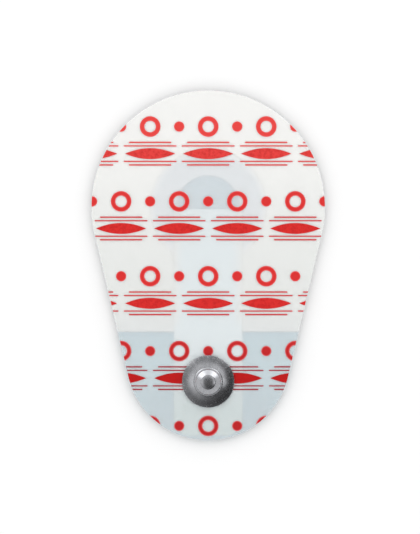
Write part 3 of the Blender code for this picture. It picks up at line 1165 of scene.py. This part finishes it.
# %% Dress the liner
LINER_DARK, LINER_LIGHT = (0.70, 0.80, 0.88), (0.78, 0.86, 0.92)

polyester, shader, where = finish("clear_sheet")
wavy = use(ripple, Position=where, Size=9.0)
give(shader, Base_Color=blend(wavy["Shade"], LINER_DARK, LINER_LIGHT), Alpha=0.22,
     Roughness=between(wavy["Shade"], 0.06, 0.16), Normal=bump(wavy["Height"], 0.05))
dress(clear_liner, polyester, "release_liner")

# %% Dress the patch
PAPER_DARK, PAPER_LIGHT = (0.82, 0.83, 0.83), (0.92, 0.93, 0.92)

paper, shader, where = finish("white_patch")
fibre = noise(stretched(where, (1.0, 5.0, 1.0)), 2.2, 5.0, Roughness=0.7)
wavy = use(ripple, Position=where, Size=1.2)
give(shader, Base_Color=blend(fibre, PAPER_DARK, PAPER_LIGHT),
     Roughness=between(fibre, 0.6, 0.85), Normal=bump(calc("ADD", fibre, wavy["Height"]), 0.03))
dress(white_patch_disc, paper, "eyelet_patch")

# %% [markdown]
# ## The steel
#
# The stud is nickel-plated steel, satin rather than mirror. Fine streaks fan out from its middle,
# shallow flutes run down its slope, and rubbed places are a little duller.

# %% Dress the stud and the eyelet
STUD_CENTRE = (0.0, SNAP_MM, 0.0)


def steel_finish(name, dark, light, smoothest, roughest):
    made, shader, where = finish(name)
    found = use(marks, Position=where, Centre=STUD_CENTRE)
    colour = blend(step(found["Tone"], 0.35, 0.65), dark, light)
    give(shader, Base_Color=colour, Metallic=1.0, Normal=bump(found["Height"], 0.008),
         Roughness=between(found["Wear"], smoothest, roughest))
    return made


bright = steel_finish("bright_steel", (0.36, 0.365, 0.385), (0.42, 0.425, 0.445), 0.22, 0.30)
dress(steel_stud, bright, "snap_stud")
dull = steel_finish("dull_steel", (0.32, 0.32, 0.32), (0.45, 0.45, 0.45), 0.35, 0.5)
dress(steel_eyelet, dull, "eyelet")

# %% [markdown]
# ## The table
#
# The electrode lies on a white table, whose colour makes the background, and which takes the
# object's shadow. Seen from below it is clear, so that the underside can be looked at. It is
# also clear to light rays that reach it after a millimetre or so, from the underside just above
# it, which would otherwise be black from below. Rays that have bounced more than once find it
# white, so that the contact shadow stays dark.

# %% Lay the table
TABLE_RADIUS, TABLE_SIDES, TABLE_DROP = 1.6, 96, 0.01 * MM
TABLE_WHITE = (0.965, 0.965, 0.965)
CLEAR_BELOW, ONE_BOUNCE = 1.5 * MM, 1.5

start()
bpy.ops.mesh.primitive_circle_add(vertices=TABLE_SIDES, radius=TABLE_RADIUS, fill_type="NGON",
                                  location=(0, 0, -TABLE_DROP))
table = settle(bpy.context.object)
table.name = table.data.name = "table"
table_white, shader, where = finish("table_white")
give(shader, Base_Color=TABLE_WHITE, Roughness=0.9, Specular_IOR_Level=0.1)
behind = place("NewGeometry").outputs["Backfacing"]
ray = place("LightPath").outputs
close = times(calc("LESS_THAN", ray["Ray Length"], CLEAR_BELOW), minus(1.0, ray["Is Camera Ray"]),
              calc("LESS_THAN", ray["Diffuse Depth"], ONE_BOUNCE))
surface = give_in_order(place("MixShader"), calc("MAXIMUM", behind, close),
                        shader.outputs[0], place("BsdfTransparent").outputs[0])
give(tree.nodes["Material Output"], Surface=surface[0])
table.data.materials.append(table_white)
print("table", 2 * TABLE_RADIUS, "m across")

# %% [markdown]
# ## The light
#
# A white tent surrounds the electrode and lights it evenly, so that its shadow is the same all
# round. The steel mirrors the tent, so its picture is painted by direction: pale walls, brighter
# on one side, a dark oval opening for the camera straight above, two bright soft boxes low on the
# broad end's side with a weaker one between them, and pale cards on both sides. Only mirroring
# rays see that picture. One soft lamp near the broad end gives the light a little fall towards
# the narrow end.

# %% Open the world and define patches of the tent
# degrees from straight up, and the walls' tone there
WALL_TONES = [(0, 1.0), (35, 1.0), (38, 0.88), (41, 0.73), (44, 0.52), (47, 0.37), (56, 0.28),
              (66, 0.85), (72, 1.0), (180, 1.0)]

world = bpy.data.worlds.new("tent")
bpy.context.scene.world = world
world.use_nodes = True
world.cycles.sampling_method = "NONE"
work_on(world.node_tree)
way = place("TexCoord").outputs["Generated"]
apart = parts(way)


def patch(turn, from_up, core, reach):
    """How much a direction lies in a round patch of the tent: 1 in its middle, 0 outside it."""
    across = sin(radians(from_up))
    aim = (across * cos(radians(turn)), across * sin(radians(turn)), cos(radians(from_up)))
    dot_product = place("VectorMath", ("operation", "DOT_PRODUCT"))
    near = give_in_order(dot_product, way, aim)["Value"]
    return step(near, cos(radians(reach)), cos(radians(core)))


def belt(from_up, to_up):
    """0 at one angle from straight up, 1 at another."""
    return step(apart["Z"], cos(radians(from_up)), cos(radians(to_up)))


def wall_tone():
    """The walls' tone, from a ramp over the angle from straight up."""
    share = calc("DIVIDE", calc("ARCCOSINE", apart["Z"]), pi)
    tones = place("ValToRGB", Fac=share)
    points = tones.color_ramp.elements
    for from_up, tone in WALL_TONES:
        if from_up in (0, 180):
            point = points[0 if from_up == 0 else -1]
        else:
            point = points.new(from_up / 180)
        point.color = (tone, tone, tone, 1)
    return tones.outputs["Color"]


print("the walls have", len(WALL_TONES), "tones")

# %% Paint the tent
EVEN_LIGHT = 1.015
BRIGHT_SIDE, SIDE_FROM, SIDE_FULL = (-0.85, 0.53), -1.10, 1.00
DARKEST, OPENING_TONE = 0.13, 0.16
OPENING_CORE, OPENING_REACH = 8, 23
# turn and angle from straight up of the opening's parts, in degrees
OPENING_PARTS = [(90, 2), (-90, 12), (0, 6), (180, 6)]
# turn, angle from straight up, brightness and reach of each light
LIGHTS = [(131, 78, 2.1, 29), (53, 78, 1.95, 28), (92, 74, 0.8, 24), (-6, 29.5, 1.7, 11),
          (30, 30, 1.0, 12), (55, 31, 0.6, 12), (182, 32, 0.35, 18)]

level = calc("SQRT", minus(1.0, times(apart["Z"], apart["Z"])))
leaning = weighed((apart["X"], BRIGHT_SIDE[0]), (apart["Y"], BRIGHT_SIDE[1]))
towards = calc("DIVIDE", leaning, calc("MAXIMUM", level, 0.001))
side = between(step(towards, SIDE_FROM, SIDE_FULL), DARKEST, 1.0)
side = chain("MAXIMUM", side, belt(64, 72), belt(28, 12))
opening = chain("MAXIMUM", *[
    patch(turn, from_up, OPENING_CORE, OPENING_REACH) for turn, from_up in OPENING_PARTS
])
picture = times(wall_tone(), side, between(opening, 1.0, OPENING_TONE))
for turn, from_up, brightness, reach in LIGHTS:
    picture = calc("MULTIPLY_ADD", patch(turn, from_up, 0, reach), brightness, picture)
mirrored = place("LightPath").outputs["Is Glossy Ray"]
give(tree.nodes["Background"], Strength=between(mirrored, EVEN_LIGHT, picture),
     Color=(1.0, 1.0, 1.0))
print("tent painted with", len(LIGHTS), "lights")

# %% Hang the lamp
KEY_TURN, KEY_FROM_UP, KEY_AWAY, KEY_SIZE, KEY_WATTS = 97, 22, 0.18, 0.16, 0.022

start()
bpy.ops.object.light_add(type="AREA")
key = bpy.context.object
key.name = "key"
key.data.shape, key.data.size, key.data.energy = "SQUARE", KEY_SIZE, KEY_WATTS
turn, tilt = radians(KEY_TURN), radians(KEY_FROM_UP)
away = KEY_AWAY * sin(tilt)
key.location = (away * cos(turn), away * sin(turn), KEY_AWAY * cos(tilt))
key.rotation_euler = (0, tilt, turn)
key.visible_camera = key.visible_glossy = False
print("key lamp", [round(part, 3) for part in key.location], "m")
